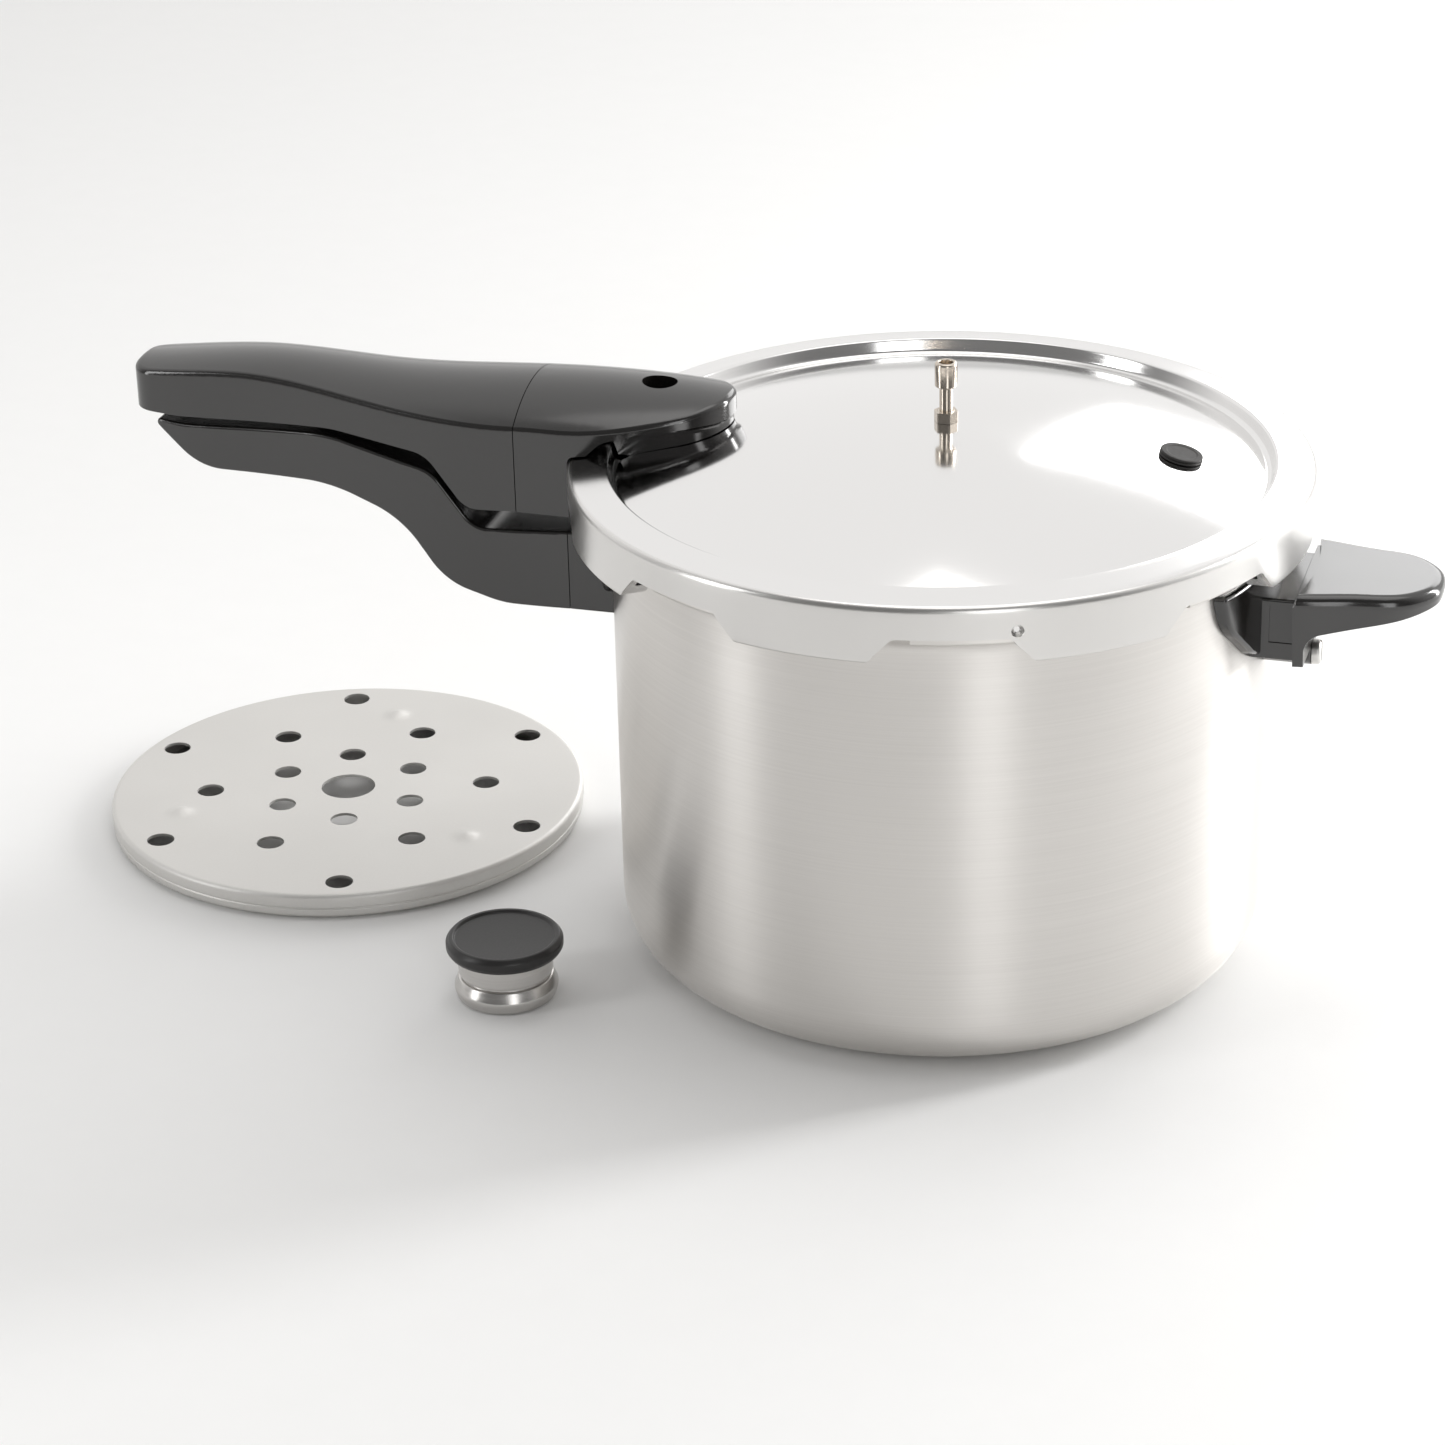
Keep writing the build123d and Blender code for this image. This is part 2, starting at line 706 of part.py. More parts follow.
def cooking_rack():
    """Perforated aluminium tray, turned down at its edge, with three small bumps."""
    rack = turned(
        (0, RACK_H),
        (RACK_R, RACK_H, 1.6),
        (RACK_R, 5.2, 0.3),
        (RACK_R - 0.7, 4.8, 0.3),
        (RACK_R - 0.2, 4.3, 0.4),
        (RACK_R - 0.4, 1.8, 1.5),
        (RACK_R - 3.5, 0, 0.6),
        (RACK_R - 5.0, 0, 0.3),
        (RACK_R - 5.0, 0.9, 0.2),
        (RACK_R - 1.6, 2.4, 0.6),
        (RACK_R - 1.5, RACK_H - RACK_T, 0.6),
        (0, RACK_H - RACK_T),
    )
    bump_sphere = (RACK_BUMP_R**2 + RACK_BUMP_H**2) / (2 * RACK_BUMP_H)
    bump = Pos(0, 0, RACK_H + RACK_BUMP_H - bump_sphere) * Sphere(bump_sphere)
    hollow = Pos(0, 0, RACK_H + RACK_BUMP_H - bump_sphere) * Sphere(bump_sphere - RACK_T)
    band = rod(RACK_BUMP_R + 2, RACK_H - 0.4, ABOVE)
    for place in around(3, 61.5, 93.5):
        rack += place * (bump & band)
        rack -= place * (hollow & rod(RACK_BUMP_R, RACK_H - RACK_T - 0.1, ABOVE))
    hole = rod(RACK_HOLE_R, 0, 20)
    for radius, first in ((26.5, 47.5), (50.0, 17.5), (75.0, 48.5)):
        for place in around(6, radius, first):
            rack -= place * hole
    rack -= rod(9.75, 0, 20)
    return Pos(RACK_X, RACK_Y) * rack


def regulator_weight():
    """Metal weight with a flared foot, a groove and a socket for the vent pipe."""
    weight = turned(
        (0, 12.0),
        (3.9, 12.0),
        (3.9, 0),
        (5.0, 0),
        (16.4, 0, 2.0),
        (17.7, 4.2, 2.5),
        (15.9, 8.0, 0.6),
        (14.9, 8.2),
        (14.9, 9.2),
        (15.8, 9.4, 0.3),
        (15.8, 16.5, 0.3),
        (9.0, 16.5),
        (9.0, 19.0, 0.5),
        (0, 19.0),
    )
    return Pos(REGULATOR_X, REGULATOR_Y) * weight


def regulator_cap():
    """Black cap over the weight, with a shallow recess in its top."""
    cap = turned(
        (0, 19.05),
        (9.05, 19.05),
        (9.05, 16.55),
        (18.6, 16.55, 1.2),
        (19.6, 18.2, 1.5),
        (19.6, 20.6, 1.4),
        (18.4, 22.0, 0.7),
        (17.2, 22.0, 0.5),
        (16.6, 21.3, 0.5),
        (0, 21.3),
    )
    return Pos(REGULATOR_X, REGULATOR_Y) * cap


# ---------------------------------------------------------------- all nodes
NODES = [
    pot_body,
    body_handle_bracket,
    body_handle_bolster,
    body_handle_grip,
    body_handle_screw,
    helper_handle_bracket,
    helper_handle_bolster,
    helper_handle_grip,
    helper_handle_screw,
    sealing_ring,
    lid_cover,
    vent_pipe,
    vent_pipe_nut,
    vent_pipe_lock_nut,
    overpressure_plug,
    lid_handle_nose,
    lid_handle_grip,
    lid_grip_screw,
    lid_handle_screws,
    lid_handle_washers,
    air_vent_plunger,
    air_vent_gasket,
    air_vent_cup,
    cooking_rack,
    regulator_weight,
    regulator_cap,
]

if __name__ == "__main__":
    os.makedirs("parts", exist_ok=True)
    for make in NODES:
        shape = make()
        export_step(shape, f"parts/{make.__name__}.step")
        print(make.__name__, len(shape.solids()), round(shape.volume), shape.is_valid)
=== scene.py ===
# %% [markdown]
# # A stovetop pressure cooker with its rack and its regulator The working parts come from a CAD model
# that is already the right size and can't be moved. This lesson gives them their looks: the spun and
# drawn metal parts are modelled again with clean rings of faces, and every part gets a finish made of
# nodes. Lengths in the lists are millimetres, and Blender works in metres.

import math

import bpy
from mathutils import Matrix, Vector


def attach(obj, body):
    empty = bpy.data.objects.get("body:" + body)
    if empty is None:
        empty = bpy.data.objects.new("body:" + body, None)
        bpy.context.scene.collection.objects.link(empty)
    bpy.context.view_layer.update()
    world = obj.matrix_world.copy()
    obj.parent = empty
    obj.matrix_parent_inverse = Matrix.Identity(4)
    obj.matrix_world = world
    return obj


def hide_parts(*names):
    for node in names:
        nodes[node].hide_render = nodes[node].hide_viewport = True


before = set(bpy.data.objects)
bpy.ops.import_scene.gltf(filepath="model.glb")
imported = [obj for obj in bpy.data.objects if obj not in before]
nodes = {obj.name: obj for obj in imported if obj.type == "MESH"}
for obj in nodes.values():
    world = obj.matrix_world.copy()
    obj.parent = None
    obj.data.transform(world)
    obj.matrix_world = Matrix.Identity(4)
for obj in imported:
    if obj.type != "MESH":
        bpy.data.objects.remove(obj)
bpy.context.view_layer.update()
print("CAD parts:", len(nodes))

MM = 0.001

# %% [markdown]
# ## How a spun part is modelled
# A pot, a lid or a turned weight is the same outline carried round an axis. By hand you would draw the
# outline one point after another and then spin it. The outline is written here as corners, each with
# the radius that rounds it, because that is how a toolmaker's drawing gives it.

# %% Rounded outlines
ARC_STEP = 12.0


def arc_points(before, here, after, radius):
    """Points of the arc that rounds one corner of an outline."""
    towards = (before - here).normalized()
    away = (after - here).normalized()
    half = towards.angle(away) / 2
    centre = here + (towards + away).normalized() * (radius / math.sin(half))
    spoke = here + towards * (radius / math.tan(half)) - centre
    sweep = math.pi - 2 * half
    side = 1.0 if towards.cross(away) < 0 else -1.0
    steps = max(2, math.ceil(math.degrees(sweep) / ARC_STEP))
    return [centre + Matrix.Rotation(side * sweep * step / steps, 2) @ spoke for step in range(steps + 1)]


def rounded(corners, closed=False, longest=1000.0):
    """An outline through corners (u, v) or (u, v, radius), with no straight run above the longest."""
    flat = [Vector(corner[:2]) for corner in corners]
    points = []
    for index, corner in enumerate(corners):
        at_end = not closed and index in (0, len(corners) - 1)
        if at_end or len(corner) < 3:
            points.append(flat[index])
        else:
            after = flat[(index + 1) % len(flat)]
            points += arc_points(flat[index - 1], flat[index], after, corner[2])
    if closed:
        points.append(points[0])
    fine = [points[0]]
    for start, end in zip(points, points[1:]):
        parts = max(1, math.ceil((end - start).length / longest))
        fine += [start.lerp(end, part / parts) for part in range(1, parts + 1)]
    return fine


square = rounded([(0, 0, 2), (9, 0, 2), (9, 9, 2), (0, 9, 2)], closed=True)
print("a rounded square has", len(square), "points")

# %% Drawing with the extrude tool


def put_down():
    """Leaves edit mode and deselects everything."""
    if bpy.context.object and bpy.context.object.mode == "EDIT":
        bpy.ops.object.mode_set(mode="OBJECT")
    bpy.ops.object.select_all(action="DESELECT")


def pick_up(piece):
    """Makes one object the selected and active one."""
    put_down()
    piece.select_set(True)
    bpy.context.view_layer.objects.active = piece


def draw(name, points):
    """A plane merged to one vertex, then extruded from point to point; stays in edit mode."""
    put_down()
    bpy.ops.mesh.primitive_plane_add(size=1.0, location=(0, 0, 0))
    piece = bpy.context.object
    piece.name = name
    piece.data.name = name
    bpy.ops.object.mode_set(mode="EDIT")
    bpy.ops.mesh.select_mode(type="VERT")
    bpy.ops.mesh.select_all(action="SELECT")
    bpy.ops.mesh.merge(type="CENTER")
    bpy.ops.transform.translate(value=points[0])
    for start, end in zip(points, points[1:]):
        bpy.ops.mesh.extrude_region_move(TRANSFORM_OT_translate={"value": end - start})
    bpy.ops.mesh.select_all(action="SELECT")
    return piece


def smooth(piece, angle=35.0):
    """Smooth shading that keeps edges sharper than an angle."""
    pick_up(piece)
    bpy.ops.object.shade_smooth_by_angle(angle=math.radians(angle))


def close_up():
    """Merges doubled points and turns the faces outwards."""
    bpy.ops.mesh.select_all(action="SELECT")
    bpy.ops.mesh.remove_doubles(threshold=2e-6)
    bpy.ops.mesh.normals_make_consistent(inside=False)
    bpy.ops.object.mode_set(mode="OBJECT")


def turn_piece(name, outline, steps, centre=(0.0, 0.0), angle=360.0, start=0.0):
    """An outline of (radius, height) spun about an upright axis."""
    along = Vector((math.cos(math.radians(start)), math.sin(math.radians(start)), 0))
    middle = Vector((centre[0], centre[1], 0))
    points = [(middle + along * point.x + Vector((0, 0, point.y))) * MM for point in outline]
    piece = draw(name, points)
    if angle < 360:
        bpy.ops.mesh.edge_face_add()
        bpy.ops.mesh.select_all(action="SELECT")
    bpy.ops.mesh.spin(steps=steps, angle=math.radians(angle), center=middle * MM, axis=(0, 0, 1))
    close_up()
    smooth(piece)
    print(name, "has", len(piece.data.polygons), "faces")
    return piece


# %% Copies, joins and cuts


def turned_copy(piece, degrees, centre=(0.0, 0.0)):
    """A copy with its own mesh, turned about an upright axis."""
    copy = piece.copy()
    copy.data = piece.data.copy()
    bpy.context.scene.collection.objects.link(copy)
    pivot = Matrix.Translation(Vector((centre[0], centre[1], 0)) * MM)
    copy.data.transform(pivot @ Matrix.Rotation(math.radians(degrees), 4, "Z") @ pivot.inverted())
    return copy


def join(pieces):
    """Several objects made one."""
    pick_up(pieces[0])
    for piece in pieces[1:]:
        piece.select_set(True)
    bpy.ops.object.join()
    return bpy.context.object


def cut(piece, cutters):
    """Takes the cutters away from a piece."""
    cutter = join(cutters)
    modifier = piece.modifiers.new("cut", "BOOLEAN")
    modifier.operation = "DIFFERENCE"
    modifier.solver = "EXACT"
    modifier.object = cutter
    pick_up(piece)
    bpy.ops.object.modifier_apply(modifier=modifier.name)
    bpy.data.objects.remove(cutter)
    smooth(piece)
    print(piece.name, "after its cuts:", len(piece.data.polygons), "faces")


def drill(radius, place, depth, lean=(0.0, 0.0, 0.0)):
    """A round bar that cuts a hole."""
    put_down()
    bpy.ops.mesh.primitive_cylinder_add(
        vertices=40, radius=radius * MM, depth=depth * MM, location=Vector(place) * MM, rotation=lean
    )
    bar = bpy.context.object
    bpy.ops.object.transform_apply(location=True, rotation=True, scale=True)
    return bar


# %% [markdown]
# ## The dome that everything on the lid refers to
# The lid's middle is part of a large sphere. The same formula gives its outline here and, later, the exact
# direction in which each point of the polished dome faces.

# %% Dome
DOME_TOP = 184.7
DOME_R = 348.0
RECESS_R = 106.9


def dome_z(radius, drop=0.0):
    """Height of the dome, or of a surface a little under it."""
    sphere = DOME_R - drop
    return DOME_TOP - DOME_R + math.sqrt(sphere * sphere - radius * radius)


def dome_line(radii, drop=0.0):
    """Points of the dome's outline."""
    return [Vector((radius, dome_z(radius, drop))) for radius in radii]


print("the dome falls by", round(DOME_TOP - dome_z(RECESS_R), 1), "mm from its middle to its step")

# %% [markdown]
# ## Lid
# A spun aluminium lid: dome, a step up to a flat rim, a rounded edge, and a skirt whose lower edge is
# cut back between eight tabs that lock under the pot's lugs. Spinning gives perfect rings, so a
# polished dome reflects without ripples. The notches are cut with shaped bars that are wider outside
# than inside, so each tab ends in a slanting, leaf-shaped face that catches the light, as on the
# pressed lid.

# %% Lid outline and spin
RIM_IN = (108.4, 173.2)
LID_R = 121.6
LID_T = 3.0
SKIRT_Z = 152.6
LIP_R = 113.4
CHANNEL_R = 111.4
UNDER_R = RECESS_R + 1.7
LIP_TOP = 156.6
DOME_END = 102.5
DOME_RADII = (0, 2, 4, 6, 8, 11, 15, 20, 26, 32, 38, 44, 50, 56, 62, 68, 74, 80, 86, 92, 98, 102)

lid_corners = [
    (DOME_END, dome_z(DOME_END)),
    (RECESS_R, dome_z(RECESS_R), 1.8),
    (RIM_IN[0], RIM_IN[1], 1.0),
    (LID_R, 171.4, 2.2),
    (LID_R, SKIRT_Z, 0.8),
    (LIP_R, SKIRT_Z, 0.8),
    (LIP_R, LIP_TOP, 0.8),
    (LID_R - LID_T, LIP_TOP, 1.0),
    (LID_R - LID_T, 169.0, 1.5),
    (CHANNEL_R, 170.4, 1.0),
    (CHANNEL_R, dome_z(UNDER_R, LID_T) + 0.6, 0.5),
    (UNDER_R, dome_z(UNDER_R, LID_T), 1.0),
    (DOME_END, dome_z(DOME_END, LID_T)),
]
lid_outline = dome_line(DOME_RADII) + rounded(lid_corners, longest=2.4)
lid_outline += dome_line(reversed(DOME_RADII), LID_T)
lid = turn_piece("lid_spun", lid_outline, steps=360)

# %% Lid notches and holes
LUG_COUNT = 8
LUG_PITCH = 360.0 / LUG_COUNT
LUG_PHASE = -97.5
NOTCH_Z = 161.0
NOTCH_TOP = 18.5
NOTCH_LOW = 27.5
NOTCH_FLARE = 1.34

notch_corners = [
    (-NOTCH_LOW - 8, SKIRT_Z - 0.2),
    (-NOTCH_LOW, SKIRT_Z - 0.2, 5),
    (-NOTCH_TOP, NOTCH_Z, 4),
    (NOTCH_TOP, NOTCH_Z, 4),
    (NOTCH_LOW, SKIRT_Z - 0.2, 5),
    (NOTCH_LOW + 8, SKIRT_Z - 0.2),
    (NOTCH_LOW + 8, SKIRT_Z - 8),
    (-NOTCH_LOW - 8, SKIRT_Z - 8),
]
notch_line = [Vector((LIP_R - 6, point.x, point.y)) * MM for point in rounded(notch_corners, closed=True)]
notch = draw("notch_bar", notch_line)
bpy.ops.mesh.remove_doubles(threshold=2e-6)
bpy.ops.mesh.edge_face_add()
bpy.ops.transform.resize(value=(1, 1 / NOTCH_FLARE, 1))
bpy.ops.mesh.extrude_region_move(TRANSFORM_OT_translate={"value": ((LID_R - LIP_R + 6.5) * MM, 0, 0)})
bpy.ops.transform.resize(value=(1, NOTCH_FLARE, 1))
close_up()

cutters = [turned_copy(notch, LUG_PHASE + LUG_PITCH * (index + 0.5)) for index in range(LUG_COUNT)]
bpy.data.objects.remove(notch)
VENT_X = 1.8
AIR_VENT_X = -95.0
PLUG = (77.5, 7.5)
SCREW_PLACES = ((-97.0, 11.0), (-97.0, -11.0))


def dome_lean(x, y):
    """Turn that sets a bar square to the dome at a place."""
    outwards = Vector((x, y, dome_z(math.hypot(x, y)) - DOME_TOP + DOME_R))
    return outwards.to_track_quat("Z", "Y").to_euler()


cutters.append(drill(3.0, (VENT_X, 0, 183), 20))
cutters.append(drill(3.0, (AIR_VENT_X, 0, 168), 24))
cutters.append(drill(4.0, (*PLUG, dome_z(math.hypot(*PLUG))), 20, dome_lean(*PLUG)))
for x, y in SCREW_PLACES:
    cutters.append(drill(2.1, (x, y, dome_z(math.hypot(x, y))), 16, dome_lean(x, y)))
cut(lid, cutters)

# %% Dimple in the skirt
# A press mark shows where the lid locks. It is a small cone that is sunk into the skirt.
DIMPLE_ANGLE = math.radians(-65.5)
dimple_place = Vector((LID_R * math.cos(DIMPLE_ANGLE), LID_R * math.sin(DIMPLE_ANGLE), 163.2))
dimple_axis = Vector((math.cos(DIMPLE_ANGLE), math.sin(DIMPLE_ANGLE), 0))
put_down()
bpy.ops.mesh.primitive_cone_add(
    vertices=32,
    radius1=0.9 * MM,
    radius2=2.4 * MM,
    depth=2.4 * MM,
    location=(dimple_place - dimple_axis * 0.6) * MM,
    rotation=dimple_axis.to_track_quat("Z", "Y").to_euler(),
)
dimple_bar = bpy.context.object
bpy.ops.object.transform_apply(location=True, rotation=True, scale=True)
cut(lid, [dimple_bar])

# %% Exact facing of the dome
# Cuts leave faces of odd shapes round the holes, and a polished surface would show them. The dome is a
# sphere, so each corner of its faces is told to face straight out of that sphere.
dome_middle = Vector((0, 0, DOME_TOP - DOME_R)) * MM


def on_dome_top(point):
    """Whether a point lies on the polished sphere."""
    out = point - dome_middle
    return abs(out.length - DOME_R * MM) < 0.02 * MM and math.hypot(point.x, point.y) < 102.6 * MM


def face_out(piece):
    """Sets the facing of the dome's corners and keeps the rest."""
    mesh = piece.data
    facing = [Vector(corner.vector) for corner in mesh.corner_normals]
    dome_points = [on_dome_top(vertex.co) for vertex in mesh.vertices]
    exact = 0
    for polygon in mesh.polygons:
        if not all(dome_points[index] for index in polygon.vertices):
            continue
        for corner in polygon.loop_indices:
            facing[corner] = (mesh.vertices[mesh.loops[corner].vertex_index].co - dome_middle).normalized()
            exact += 1
    mesh.normals_split_custom_set(facing)
    print("dome corners with an exact facing:", exact)


face_out(lid)

# %% [markdown]
# ## Pot
# A deep-drawn pot: flat base with a slight foot, a wide round corner, a straight wall and a thick rim
# with eight lugs. The wall is spun like the lid. A lug is a short piece of the same turning, so it is a
# short spin of its own outline, closed at both ends and copied round.

# %% Pot wall and base
POT_R = 108.0
WALL = 3.0
POT_TOP = 163.4
RIM_R = 112.5
RIM_LOW = 157.2
pot_corners = [
    (0, 0.4),
    (30, 0.4, 1),
    (30.6, 0, 0.3),
    (86, 0, 0.5),
    (86.4, 1.2, 0.3),
    (POT_R, 1.2, 20),
    (POT_R, RIM_LOW - 4.5, 6),
    (RIM_R, RIM_LOW, 2),
    (RIM_R, POT_TOP, 1.2),
    (POT_R - WALL, POT_TOP, 1.2),
    (POT_R - WALL, 4.7, 17),
    (0, 4.7),
]
pot = turn_piece("pot_drawn", rounded(pot_corners, longest=12), steps=256)

# %% Lugs
LUG_WIDE = 19.0
LUG_R = 117.6
LUG_TOP = 163.0
lug_corners = [
    (RIM_R - 1.5, RIM_LOW),
    (LUG_R, RIM_LOW, 1.2),
    (LUG_R, LUG_TOP, 1.5),
    (RIM_R - 1.5, LUG_TOP),
]
lug_outline = rounded(lug_corners, closed=True)
lug = turn_piece("lug", lug_outline, steps=12, angle=LUG_WIDE, start=LUG_PHASE - LUG_WIDE / 2)
lugs = [turned_copy(lug, LUG_PITCH * index) for index in range(1, LUG_COUNT)]
pot = join([pot, lug] + lugs)
pot.name = "pot_drawn"
smooth(pot)

# %% [markdown]
# ## Vent pipe, regulator and cap
# All three are turned on a lathe, so they are spun too. Small parts get small roundings, because it is the
# thin bright lines along their edges that make them look machined.

# %% Vent pipe
pipe_corners = [
    (1.1, 173),
    (2.9, 173, 0.4),
    (2.9, DOME_TOP + 3.7, 0.2),
    (2.2, DOME_TOP + 3.7),
    (2.2, 196.6, 0.6),
    (3.7, 196.6, 0.6),
    (3.7, 205.0, 0.9),
    (2.3, 205.0, 0.4),
    (2.1, 201.5, 0.5),
    (1.1, 200.2),
]
pipe_line = rounded(pipe_corners, closed=True)
vent_pipe = turn_piece("vent_pipe_turned", pipe_line, steps=64, centre=(VENT_X, 0))

# %% Regulator
REGULATOR = (-128.9, -82.2)
weight_corners = [
    (0, 12.0),
    (3.9, 12.0),
    (3.9, 0, 0.3),
    (5.0, 0),
    (16.4, 0, 2.0),
    (17.5, 4.2, 2.5),
    (15.9, 8.0, 0.6),
    (14.9, 8.2, 0.2),
    (14.9, 9.2, 0.2),
    (15.8, 9.4, 0.3),
    (15.8, 16.5, 0.3),
    (9.0, 16.5),
    (9.0, 19.0, 0.5),
    (0, 19.0),
]
weight = turn_piece("regulator_turned", rounded(weight_corners), steps=128, centre=REGULATOR)
cap_corners = [
    (0, 19.05),
    (9.05, 19.05),
    (9.05, 16.55),
    (18.6, 16.55, 1.2),
    (19.6, 18.2, 1.5),
    (19.6, 20.6, 1.4),
    (18.4, 22.0, 0.7),
    (17.2, 22.0, 0.5),
    (16.6, 21.3, 0.5),
    (0, 21.3),
]
cap = turn_piece("regulator_cap_moulded", rounded(cap_corners), steps=128, centre=REGULATOR)

# %% [markdown]
# ## Rack
# A pressed sheet with a rolled edge, eighteen holes and a larger one in the middle, and three small
# bumps that hold it off the pot's base when it lies the other way up. The sheet is spun with close
# rings so that the bumps can be pressed by lifting points, as a punch would, and the holes are drilled
# afterwards.

# %% Rack sheet and bumps
RACK = (-228.8, 32.4)
RACK_R = 85.4
rack_corners = [
    (0, 10.0),
    (RACK_R, 10.0, 1.6),
    (RACK_R, 5.2, 0.3),
    (RACK_R - 0.7, 4.8, 0.3),
    (RACK_R - 0.2, 4.3, 0.4),
    (RACK_R - 0.4, 1.8, 1.5),
    (RACK_R - 3.5, 0, 0.6),
    (RACK_R - 5.0, 0, 0.3),
    (RACK_R - 5.0, 0.9, 0.2),
    (RACK_R - 1.6, 2.4, 0.6),
    (RACK_R - 1.5, 9.0, 0.6),
    (0, 9.0),
]
rack = turn_piece("rack_pressed", rounded(rack_corners, longest=1.9), steps=288, centre=RACK)
BUMP_R = 5.6
BUMP_HIGH = 1.55
rack_middle = Vector((RACK[0], RACK[1]))


def ring(count, radius, first):
    """Places of a ring of marks on the rack."""
    turns = [math.radians(first + 360 * index / count) for index in range(count)]
    return [rack_middle + Vector((math.cos(turn), math.sin(turn))) * radius for turn in turns]


def ease(value):
    """A smooth step from 0 to 1."""
    value = min(1.0, max(0.0, value))
    return value * value * (3 - 2 * value)


bumps = ring(3, 61.5, 93.5)
for vertex in rack.data.vertices:
    if vertex.co.z < 8.5 * MM:
        continue
    place = Vector(vertex.co.xy) / MM
    near = min((place - bump).length for bump in bumps)
    vertex.co.z += BUMP_HIGH * MM * ease(1 - near / BUMP_R)

# %% Rack holes
drills = [drill(9.75, (RACK[0], RACK[1], 9), 8)]
for radius, first in ((26.5, 47.5), (50.0, 17.5), (75.0, 48.5)):
    drills += [drill(4.85, (place.x, place.y, 9), 8) for place in ring(6, radius, first)]
cut(rack, drills)

# %% [markdown]
# ## Shader maths
# A finish is a small piece of arithmetic on the place of each point. This class lets that arithmetic be
# written with plus, minus and times signs, and each sign becomes a Math node.

# %% Sockets that add and multiply


class Amount:
    """A number that a node gives, with the usual signs."""

    def __init__(self, finish, socket):
        self.finish = finish
        self.socket = socket

    def maths(self, operation, *others):
        inputs = dict(enumerate((self,) + others))
        return self.finish.amount("ShaderNodeMath", 0, {"operation": operation}, inputs)

    def __add__(self, other):
        return self.maths("ADD", other)

    def __radd__(self, other):
        return self.maths("ADD", other)

    def __sub__(self, other):
        return self.maths("SUBTRACT", other)

    def __mul__(self, other):
        return self.maths("MULTIPLY", other)

    def __rmul__(self, other):
        return self.maths("MULTIPLY", other)

    def root(self):
        return self.maths("SQRT")


# %% A finish and its nodes


class Finish:
    """A material on the Principled shader, in the object's own coordinates."""

    def __init__(self, name, colour, roughness, metallic=0.0, **fixed):
        self.material = bpy.data.materials.new(name)
        self.material.use_nodes = True
        self.tree = self.material.node_tree
        self.tree.nodes.clear()
        end = self.node("ShaderNodeOutputMaterial")
        self.shader = self.node("ShaderNodeBsdfPrincipled")
        self.tree.links.new(self.shader.outputs["BSDF"], end.inputs["Surface"])
        self.set("Base Color", (*colour, 1.0))
        self.set("Roughness", roughness)
        self.set("Metallic", metallic)
        for socket, value in fixed.items():
            self.set(socket.replace("_", " "), value)
        place = self.node("ShaderNodeTexCoord").outputs["Object"]
        apart = self.node("ShaderNodeSeparateXYZ", {}, {"Vector": place})
        self.x, self.y, self.z = [Amount(self, output) for output in apart.outputs]
        self.place = place

    def node(self, kind, settings=None, inputs=None):
        """Any node: its type, its settings, then the values or links of its sockets."""
        made = self.tree.nodes.new(kind)
        for setting, value in (settings or {}).items():
            setattr(made, setting, value)
        for key, value in (inputs or {}).items():
            self.feed(made.inputs[key], value)
        return made

    def feed(self, socket, value):
        """A link where the value comes from a node, or the plain value."""
        if isinstance(value, Amount):
            value = value.socket
        if isinstance(value, bpy.types.NodeSocket):
            self.tree.links.new(value, socket)
        else:
            socket.default_value = value

    def set(self, socket, value):
        self.feed(self.shader.inputs[socket], value)

    def amount(self, kind, output, settings=None, inputs=None):
        return Amount(self, self.node(kind, settings, inputs).outputs[output])

    def vector(self, x, y, z):
        return self.node("ShaderNodeCombineXYZ", {}, {0: x, 1: y, 2: z}).outputs[0]

    def noise(self, vector, scale, detail=3.0, rough=0.5):
        inputs = {"Vector": vector, "Scale": scale, "Detail": detail, "Roughness": rough}
        return self.amount("ShaderNodeTexNoise", "Fac", {}, inputs)

    def step(self, value, low, high, first=0.0, last=1.0):
        """A smooth change from one number to another as the value grows."""
        inputs = {"Value": value, 1: low, 2: high, 3: first, 4: last}
        return self.amount("ShaderNodeMapRange", 0, {"interpolation_type": "SMOOTHSTEP"}, inputs)

    def mix(self, share, first, second):
        """A colour between two colours."""
        settings = {"data_type": "RGBA"}
        made = self.node("ShaderNodeMix", settings, {0: share, 6: (*first, 1.0), 7: (*second, 1.0)})
        return made.outputs[2]

    def bump(self, height, strength, distance):
        inputs = {"Height": height, "Strength": strength, "Distance": distance}
        made = self.node("ShaderNodeBump", {}, inputs)
        self.set("Normal", made.outputs["Normal"])

    def radius(self, centre=(0.0, 0.0)):
        """Distance from an upright axis, in metres."""
        x = self.x - centre[0] * MM
        y = self.y - centre[1] * MM
        return (x * x + y * y).root()

    def lathe_marks(self, radius, fine, around=14.0, detail=4.0):
        """Fine lines that run round the axis, as brushing or a lathe leaves them."""
        level = (self.z + radius) * fine
        return self.noise(self.vector(self.x * around, self.y * around, level), 1.0, detail, 0.6)


# %% [markdown]
# ## Finishes
# Brushed wall: the pot is turned against an abrasive, so its fine lines run round it and its reflections
# are drawn out upright. Anisotropy gives the drawn-out reflections, and a fine noise gives the lines.

# %% Brushed aluminium
UPRIGHT = 0.25
brushing = {"Anisotropic": 0.85, "Anisotropic_Rotation": UPRIGHT}
wall = Finish("brushed_aluminium", (0.6, 0.585, 0.565), 0.32, 1.0, **brushing)
lines = wall.lathe_marks(wall.radius(), 1500.0, 9.0)
drifts = wall.noise(wall.place, 14.0, 2.0)
wall.set("Roughness", 0.28 + lines * 0.06 + drifts * 0.04)
wall.set("Base Color", wall.mix(lines, (0.66, 0.64, 0.615), (0.76, 0.74, 0.715)))
wall.bump(lines, 0.2, 0.000012)
print("brushed wall nodes:", len(wall.tree.nodes))

